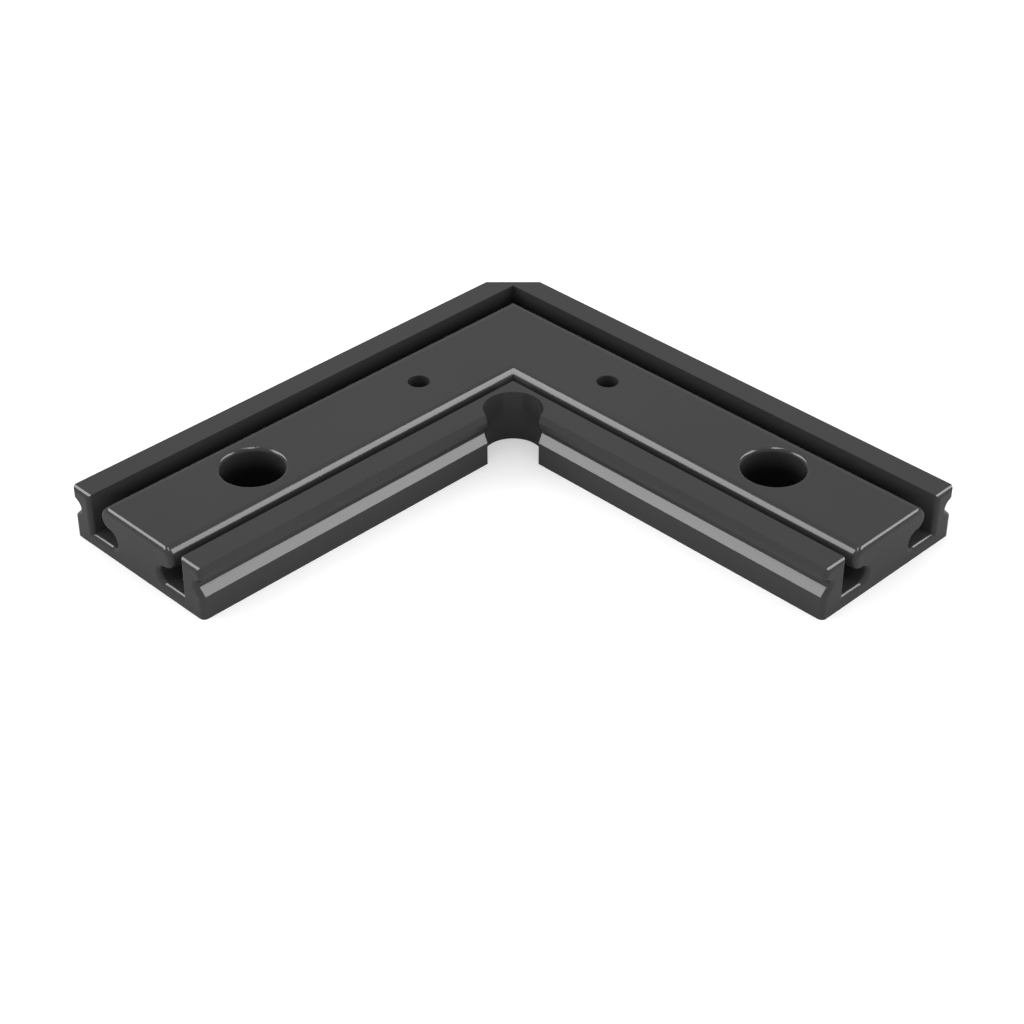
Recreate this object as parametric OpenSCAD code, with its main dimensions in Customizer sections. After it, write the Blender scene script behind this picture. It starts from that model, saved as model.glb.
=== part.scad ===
// One-piece right-angle corner connector for rail profiles.
// Two equal arms meet in a mitred corner. Each arm carries the same section:
// a raised centre rib with half-round edges and undercut flanks, an open slot
// on both sides of it, and a shallow V groove along each long outside face.
// The long inside faces lean back a little at the top, above their groove.
// Frame: the centre lines of the two arms cross at the origin, on the
// underside. One arm runs along +X, the other along +Y, and +Z points up.
// Lengths are in millimetres.

/* [Arms] */
// Length of an arm along its outside, from the sharp outer corner
arm_length = 86.2; // [60:0.1:120]
// Width of an arm
arm_width = 28.1; // [24:0.1:36]
// Height of the side walls
wall_height = 8.2; // [7:0.1:12]
// Thickness of the plate under the slots
floor_thickness = 1.8; // [1.2:0.1:3]
// Thickness of the side wall on the outside of the corner
outer_wall = 3.8; // [3:0.05:4.5]
// Thickness of the side wall on the inside of the corner
inner_wall = 4.3; // [3:0.05:4.5]
// How far the inner side wall leans back over the height of its lip
lip_lean = 0.5; // [0.1:0.05:1]
// Height of that leaning lip, measured down from the top of the wall
lip_height = 1; // [0.5:0.05:1.5]

/* [Rib] */
// Width of the rib over its two rounded edges
rib_width = 15.7; // [14:0.1:17]
// How far the top of the rib lies below the side walls
rib_drop = 0.2; // [0:0.05:0.6]
// Radius of the half-round edge along each side of the rib
nose_radius = 1.78; // [1.2:0.02:2.2]

/* [Side grooves] */
// Height of the lower edge of the V groove in the inner side wall
groove_low = 3.66; // [2:0.02:4.5]
// Height of the upper edge of the V groove in the inner side wall
groove_high = 6.46; // [5:0.02:7]
// How much lower the groove in the outer side wall lies
groove_drop = 0.2; // [0:0.05:0.5]
// Slope of the lower flank, measured from level
groove_low_angle = 45; // [35:1:60]
// Slope of the upper flank, measured from level
groove_high_angle = 30; // [20:1:45]
// Radius at the root of the groove
groove_root = 0.8; // [0.3:0.05:1]

/* [Holes] */
// Distance of the large hole from the crossing of the centre lines
large_hole_at = 51.3; // [35:0.1:70]
// Diameter of the large through hole
large_hole_d = 9.2; // [6:0.1:10]
// Rounding of the rim at the top of the large hole
rim_radius = 0.6; // [0.2:0.05:1]
// Distance of the small hole from the crossing of the centre lines
small_hole_at = 19.5; // [12:0.1:30]
// Diameter of the small through hole
small_hole_d = 3.3; // [2.5:0.1:5]
// How far the holes lie off the centre line, towards the outer side wall
hole_shift = 0.2; // [0:0.05:0.5]

/* [Corner and edges] */
// Radius of the round relief in the inner corner
relief_radius = 4.4; // [2:0.05:6]
// Distance of the relief's centre beyond the sharp inner corner
relief_offset = 1.35; // [0:0.05:3]
// Half the width of the flat across the outer corner
corner_flat = 4.25; // [1:0.05:6]
// Rounding of the edges around the end of an arm
edge_radius = 0.8; // [0.2:0.05:1]

/* [Hidden] */
$fn = 96;
half = arm_width / 2;
end_x = arm_length - half;
rib_top = wall_height - rib_drop;
rib_height = rib_top - floor_thickness;
// the undercut is a half round that fills the height left under the nose
undercut_radius = rib_height / 2 - nose_radius;
// both arcs of the flank have their centres on one upright line
flank_at = rib_width / 2 - nose_radius;
nose_z = rib_top - nose_radius;
undercut_z = floor_thickness + undercut_radius;
// where the groove's root arc touches its two flanks
groove_slopes = tan(groove_low_angle) + tan(groove_high_angle);
root_depth = (groove_high - groove_low
    - groove_root / cos(groove_low_angle)
    - groove_root / cos(groove_high_angle)) / groove_slopes;
root_z = groove_low + root_depth * tan(groove_low_angle)
    + groove_root / cos(groove_low_angle);
low_touch = [root_depth + groove_root * sin(groove_low_angle),
             root_z - groove_root * cos(groove_low_angle)];
high_touch = [root_depth + groove_root * sin(groove_high_angle),
              root_z + groove_root * cos(groove_high_angle)];
// the inner side wall's lip starts here and leans back by this angle
lip_z = wall_height - lip_height;
lip_angle = atan(lip_lean / lip_height);
// sharp inner corner of the L, and the centre of its round relief
inner_corner = half;
relief_at = inner_corner + relief_offset / sqrt(2);
// sizes that only carry a cut past the face it leaves through
far = arm_length;
over = 1;
clear = 0.2;
// how far one cut runs past another where their surfaces would only touch
blend = 0.01;

// Slice of a disc, swept anticlockwise from one angle by at most a half turn.
module sector(radius, from, sweep) {
    reach = 2 * radius;
    intersection() {
        circle(radius);
        polygon(concat([[0, 0]], [for (i = [0:2])
            reach * [cos(from + i * sweep / 2), sin(from + i * sweep / 2)]]));
    }
}

// V groove in a long face, with straight flanks and a rounded root. The face
// lies on the vertical axis and the groove reaches towards +s. The root arc
// runs a hair past the flanks, so that it crosses them instead of touching.
module groove() {
    reach = 1;
    polygon([[-reach, groove_low - reach * tan(groove_low_angle)],
             low_touch,
             high_touch,
             [-reach, groove_high + reach * tan(groove_high_angle)]]);
    translate([root_depth, root_z]) circle(groove_root + blend);
}

// One side of the rib's flank: the round nose, which stands out from the
// rib's upright sides, or the hollow of the undercut, which reaches into it.
module noses() {
    for (side = [0, 1]) mirror([side, 0]) translate([flank_at, nose_z])
        sector(nose_radius, -90, 180);
}

module undercuts() {
    for (side = [0, 1]) mirror([side, 0]) translate([flank_at, undercut_z])
        sector(undercut_radius, 90, 180);
}

// The section of an arm, outer face on the left, middle of the rib at zero.
module section() {
    difference() {
        union() {
            translate([-half, 0]) square([arm_width, floor_thickness]);
            translate([-half, 0]) square([outer_wall, wall_height]);
            translate([half - inner_wall, 0]) square([inner_wall, wall_height]);
            translate([-flank_at, 0]) square([2 * flank_at, rib_top]);
            noses();
        }
        undercuts();
        translate([-half, -groove_drop]) groove();
        translate([half, 0]) mirror([1, 0]) groove();
        // lean of the inner wall's lip
        polygon([[half, lip_z],
                 [half - lip_lean * (1 + over), wall_height + lip_height * over],
                 [half + over, wall_height + lip_height * over],
                 [half + over, lip_z]]);
    }
}

// Stands a section up and runs it along +X between two stations.
module along_x(from, to) {
    translate([from, 0, 0]) rotate([90, 0, 90])
        linear_extrude(height = to - from) children();
}

// What rounding an edge takes off: the part of a square outside a quarter
// circle. The edge is at the origin and the part lies towards -x and -y.
module waste(radius = edge_radius) {
    translate([-radius, -radius]) difference() {
        square(radius + clear);
        circle(radius);
    }
}

// Waste along a straight edge of the arm's end. It starts at a point of the
// section, the face beside it looks in the direction given as an angle, and
// the edge runs a quarter turn to the left of that.
module straight(at, facing, length) {
    translate([end_x, at[0], at[1]]) rotate([facing, 0, 0])
        linear_extrude(height = length) waste();
}

// Waste along an arc of the arm's end, swept anticlockwise from one angle.
// The arc is the edge of a rounded nose, or of a hollow if hollow is true.
module arc(at, radius, from, sweep, hollow = false) {
    translate([end_x, at[0], at[1]]) rotate([0, 90, 0])
        rotate([0, 0, from + 90]) rotate_extrude(angle = sweep)
            translate([radius, 0]) mirror([hollow ? 1 : 0, 0]) waste();
}

// The end edges along the V groove of a long face: its two flanks, and the
// arc of its root between them.
module groove_waste() {
    spill = edge_radius + clear;
    straight([half + spill * cos(groove_low_angle)
                  + blend * sin(groove_low_angle),
              groove_low - spill * sin(groove_low_angle)
                  + blend * cos(groove_low_angle)],
        90 - groove_low_angle,
        spill + low_touch[0] / cos(groove_low_angle));
    straight([half - high_touch[0] + blend * sin(groove_high_angle),
              high_touch[1] - blend * cos(groove_high_angle)],
        groove_high_angle - 90,
        spill + high_touch[0] / cos(groove_high_angle));
    arc([half - root_depth, root_z], groove_root, 89 + groove_high_angle,
        182 - groove_low_angle - groove_high_angle, hollow = true);
}

// All the end edges of half a section, the half towards +s. Its side wall has
// the given thickness, its groove lies lower by the given drop, and above the
// groove the long face is upright up to lip_top. The bottom edge stays sharp.
module end_waste(wall, drop, lip_top) {
    wall_at = half - wall;
    spill = edge_radius + clear;
    // long face: lower land, groove and upper land
    straight([half, -clear], 0, groove_low - drop + clear + spill);
    translate([0, 0, -drop]) groove_waste();
    straight([half, groove_high - drop - spill], 0,
        lip_top - groove_high + drop + 2 * spill);
    // side wall: its top and its face in the slot
    straight([half + spill, wall_height], 90, wall + 2 * spill);
    straight([wall_at, wall_height + spill], 180,
        wall_height + spill - floor_thickness);
    // inner corner of the slot, where both roundings meet in a mitre
    intersection() {
        straight([wall_at, floor_thickness], 180, spill);
        straight([wall_at + spill, floor_thickness], 90, spill);
    }
    // plate, undercut and nose of the rib
    straight([wall_at, floor_thickness], 90, wall_at - flank_at);
    arc([flank_at, undercut_z], undercut_radius, 90, 180, hollow = true);
    arc([flank_at, nose_z], nose_radius, -90, 180);
}

// One arm along +X, mitred at the corner, with the edges of its end rounded.
module arm() {
    difference() {
        intersection() {
            along_x(-half, end_x) section();
            translate([0, 0, -over]) linear_extrude(height = 2 * far)
                polygon([[-half - over, -half - over],
                         [end_x + over, -half - over],
                         [end_x + over, half + over],
                         [half + over, half + over]]);
        }
        end_waste(inner_wall, 0, lip_z);
        mirror([0, 1, 0]) end_waste(outer_wall, groove_drop, wall_height);
        straight([flank_at, rib_top], 90, 2 * flank_at);
        // leaning lip of the inner side wall
        straight([half + edge_radius * sin(lip_angle),
                  lip_z - edge_radius * cos(lip_angle)], lip_angle,
            lip_height / cos(lip_angle) + 2 * edge_radius);
    }
}

// Through hole in the rib of the arm along +X.
module hole(at, diameter) {
    translate([at, -hole_shift, -over])
        cylinder(h = wall_height + 2 * over, d = diameter);
}

// Large hole, its rim at the top rounded.
module large_hole() {
    hole(large_hole_at, large_hole_d);
    translate([large_hole_at, -hole_shift, rib_top]) rotate_extrude()
        translate([large_hole_d / 2, 0]) mirror([1, 0]) waste(rim_radius);
}

module connector() {
    color([0.03, 0.03, 0.032]) difference() {
        union() {
            arm();
            mirror([1, -1, 0]) arm();
        }
        large_hole();
        hole(small_hole_at, small_hole_d);
        mirror([1, -1, 0]) {
            large_hole();
            hole(small_hole_at, small_hole_d);
        }
        // round relief through the inner corner
        translate([relief_at, relief_at, -over])
            cylinder(h = wall_height + 2 * over, r = relief_radius);
        // flat across the outer corner
        rotate([0, 0, 45])
            translate([-half * sqrt(2) - far, -far / 2, -over])
                cube([far + corner_flat, far, wall_height + 2 * over]);
    }
}

connector();
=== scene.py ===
import bpy
from math import cos, pi, radians, sin, tan
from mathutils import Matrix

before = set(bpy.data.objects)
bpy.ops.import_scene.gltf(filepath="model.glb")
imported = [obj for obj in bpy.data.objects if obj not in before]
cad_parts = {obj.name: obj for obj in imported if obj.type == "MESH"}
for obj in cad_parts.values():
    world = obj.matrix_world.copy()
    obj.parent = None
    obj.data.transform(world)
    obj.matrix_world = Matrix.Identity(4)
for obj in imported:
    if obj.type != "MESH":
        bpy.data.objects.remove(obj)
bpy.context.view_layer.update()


# Connector: one solid piece of metal, two arms with an undercut rib, mitred at
# the corner, under a thin coat of glossy black. The coat is even and clean.
class Value:
    """A socket of a shader tree that Python arithmetic can be done on."""

    def __init__(self, tree, socket=None):
        self.tree, self.socket = tree, socket

    def node(self, kind, inputs=(), out=0, **settings):
        made = self.tree.nodes.new(kind)
        for name, setting in settings.items():
            setattr(made, name, setting)
        for key, given in dict(inputs).items():
            if isinstance(given, Value):
                given.feed(made.inputs[key])
            else:
                made.inputs[key].default_value = given
        return Value(self.tree, made.outputs[out])

    def feed(self, socket):
        self.tree.links.new(self.socket, socket)

    def maths(self, operation, *others):
        return self.node("ShaderNodeMath", dict(enumerate((self, *others))), operation=operation)

    def __add__(self, other):
        return self.maths("ADD", other)

    def __mul__(self, other):
        return self.maths("MULTIPLY", other)

    def __sub__(self, other):
        return self.maths("SUBTRACT", other)

    def __rsub__(self, other):
        return self.node("ShaderNodeMath", {0: other, 1: self}, operation="SUBTRACT")

    __radd__, __rmul__ = __add__, __mul__

    def ramp(self, low, high):
        """0 below the low value, 1 above the high one, smooth between."""
        return self.node("ShaderNodeMapRange", {"Value": self, "From Min": low, "From Max": high},
                         interpolation_type="SMOOTHSTEP")

    def blend(self, colour, other):
        """One colour where this value is 0, the other where it is 1."""
        return self.node("ShaderNodeMix", {0: self, 6: colour, 7: other}, out=2, data_type="RGBA")


def new_material(name):
    """A material, its Principled surface, and a Value to start its nodes from."""
    made = bpy.data.materials.new(name)
    made.use_nodes = True
    return made, made.node_tree.nodes["Principled BSDF"], Value(made.node_tree)


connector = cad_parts["connector"]
gloss_black, coat, shader = new_material("gloss_black_coat")
place = shader.node("ShaderNodeTexCoord", out="Object")

# the coat dries a touch smoother in some places than in others, in soft
# patches and in a fine grain, of which a metre holds about so many
patches, grains = 55.0, 900.0
patchy = place.node("ShaderNodeTexNoise", {"Vector": place, "Scale": patches, "Detail": 2.0})
grainy = place.node("ShaderNodeTexNoise", {"Vector": place, "Scale": grains, "Detail": 3.0})
smoothest, patch_change, grain_change = 0.085, 0.03, 0.02
roughness = smoothest + patch_change * patchy + grain_change * grainy
roughness.feed(coat.inputs["Roughness"])
coat.inputs["IOR"].default_value = 1.45

# near black, a trace paler where the coat is thin
thick_coat, thin_coat = (0.033, 0.033, 0.0335, 1), (0.039, 0.0388, 0.039, 1)
patchy.blend(thick_coat, thin_coat).feed(coat.inputs["Base Color"])

# painted shade: down in the slots and the holes the gloss gives way to a dull black, which stands in
# for the shade that falls there. The gloss is full near the top, on the long faces and at the arms'
# ends. across and along are measured on the arm that a point is on, in metres
x, y, z = (place.node("ShaderNodeSeparateXYZ", {"Vector": place}, out=axis) for axis in "XYZ")
across, along = x.maths("MINIMUM", y).maths("ABSOLUTE"), x.maths("MAXIMUM", y)
painted_shade_full_height, painted_shade_end_height = 0.0042, 0.0079
slot_side, long_face = 0.0103, 0.0106
shaded_slot, open_slot = 0.062, 0.0715
outside = across.ramp(slot_side, long_face).maths("MAXIMUM", along.ramp(shaded_slot, open_slot))
free_of_painted_shade = z.ramp(painted_shade_full_height, painted_shade_end_height).maths("MAXIMUM", outside)
# the dull black of the painted shade in the slots and holes, mixed with the gloss below
painted_shade_black = (0.008, 0.008, 0.008, 1)
painted_shade = shader.node("ShaderNodeBsdfDiffuse", {"Color": painted_shade_black})
gloss = Value(shader.tree, coat.outputs[0])
gloss_with_painted_shade = shader.node("ShaderNodeMixShader", {0: free_of_painted_shade, 1: painted_shade, 2: gloss})
gloss_with_painted_shade.feed(shader.tree.nodes["Material Output"].inputs["Surface"])

connector.data.materials.clear()
connector.data.materials.append(gloss_black)


# Floor: a plain white sheet that the connector lies on. It is bright enough
# that only the deep shade in the crook of the L shows on it.
floor_size = 12
bpy.ops.object.select_all(action="DESELECT")
bpy.ops.mesh.primitive_plane_add(size=floor_size, location=(0, 0, 0))
floor = bpy.context.object
floor.name = "floor"
white, sheet, shader = new_material("white_floor")
sheet.inputs["Roughness"].default_value = 1.0
sheet.inputs["Specular IOR Level"].default_value = 0.0

# the coat mirrors it as a duller white, and only the camera sees its own light
mirrored = shader.node("ShaderNodeLightPath", out="Is Glossy Ray")
seen = shader.node("ShaderNodeLightPath", out="Is Camera Ray")
paper, mirrored_paper = (0.8, 0.8, 0.8, 1), (0.4, 0.4, 0.4, 1)
no_light, white_light, lift = (0, 0, 0, 1), (1, 1, 1, 1), 0.34
mirrored.blend(paper, mirrored_paper).feed(sheet.inputs["Base Color"])
seen.blend(no_light, white_light).feed(sheet.inputs["Emission Color"])
sheet.inputs["Emission Strength"].default_value = lift
floor.data.materials.append(white)


# Studio: a white room. On each side stand a bright panel, which only the gloss
# mirrors, to draw the lines along the groove flanks, the rib and the rounded
# edges, and a lamp for the soft light, which the gloss doesn't mirror.
room = bpy.data.worlds.new("white_room")
bpy.context.scene.world = room
room.use_nodes = True
backdrop = room.node_tree.nodes["Background"]
backdrop.inputs["Color"].default_value = white_light

# the gloss mirrors the room's white as a mid grey
mirrored = Value(room.node_tree).node("ShaderNodeLightPath", out="Is Glossy Ray")
room_light, mirrored_loss = 1.0, 0.61
(room_light - mirrored_loss * mirrored).feed(backdrop.inputs["Strength"])


def lamp(name, location, turned, width, height, radiance, in_gloss):
    """A bright rectangle, either seen in the gloss or giving the soft light."""
    bpy.ops.object.light_add(type="AREA", location=location, rotation=turned)
    made = bpy.context.object
    made.name = name
    made.data.shape = "RECTANGLE"
    made.data.size, made.data.size_y = width, height
    made.data.energy = radiance * pi * width * height
    made.visible_glossy, made.visible_diffuse = in_gloss, not in_gloss


# how far off the lamps on the sides stand, and how high the one overhead hangs
reach = 2.2


def side_lamp(name, side, front, back, low, high, radiance, in_gloss):
    """A lamp that stands upright on one side, facing the connector. It reaches
    so many degrees to the front and to the back of straight sideways, and
    hangs between two heights, which are degrees above level."""
    turn = radians(45 + side * (90 + (back - front) / 2))
    width = 2 * reach * tan(radians((front + back) / 2))
    foot, top = reach * tan(radians(low)), reach * tan(radians(high))
    location = (reach * cos(turn), reach * sin(turn), (foot + top) / 2)
    turned = (radians(90), 0, turn + radians(90))
    lamp(name, location, turned, width, top - foot, radiance, in_gloss)


# the soft light is stronger from the left
left, right = -1, 1
panel_glow, left_glow, right_glow = 7.2, 5.4, 3.2
side_lamp("left_panel", left, front=14, back=52, low=34, high=60, radiance=panel_glow, in_gloss=True)
side_lamp("right_panel", right, front=14, back=48, low=34, high=60, radiance=panel_glow, in_gloss=True)
side_lamp("left_light", left, front=14, back=15, low=13, high=42, radiance=left_glow, in_gloss=False)
side_lamp("right_light", right, front=20, back=10, low=5, high=40, radiance=right_glow, in_gloss=False)

# a narrow panel overhead, seen only in the rims of the holes
top_width, top_height = 1.6, 0.5
lamp("top_panel", (0, 0, reach), (0, 0, radians(45)), top_width, top_height, panel_glow, in_gloss=True)


# Camera: looks down at 35 degrees, straight into the crook of the L. The lens
# is a longish one, so that the arms run nearly parallel in the picture.
spot, look_down, heading = (0.213445, 0.213445, 0.188162), 35.2627, 135.0324
turned = (radians(90 - look_down), 0, radians(heading))
bpy.ops.object.camera_add(location=spot, rotation=turned)
camera = bpy.context.object
camera.data.sensor_width = 36
camera.data.lens = 80.787
camera.data.clip_start, camera.data.clip_end = 0.01, 20
bpy.context.scene.camera = camera
bpy.context.scene.view_settings.view_transform = "Standard"
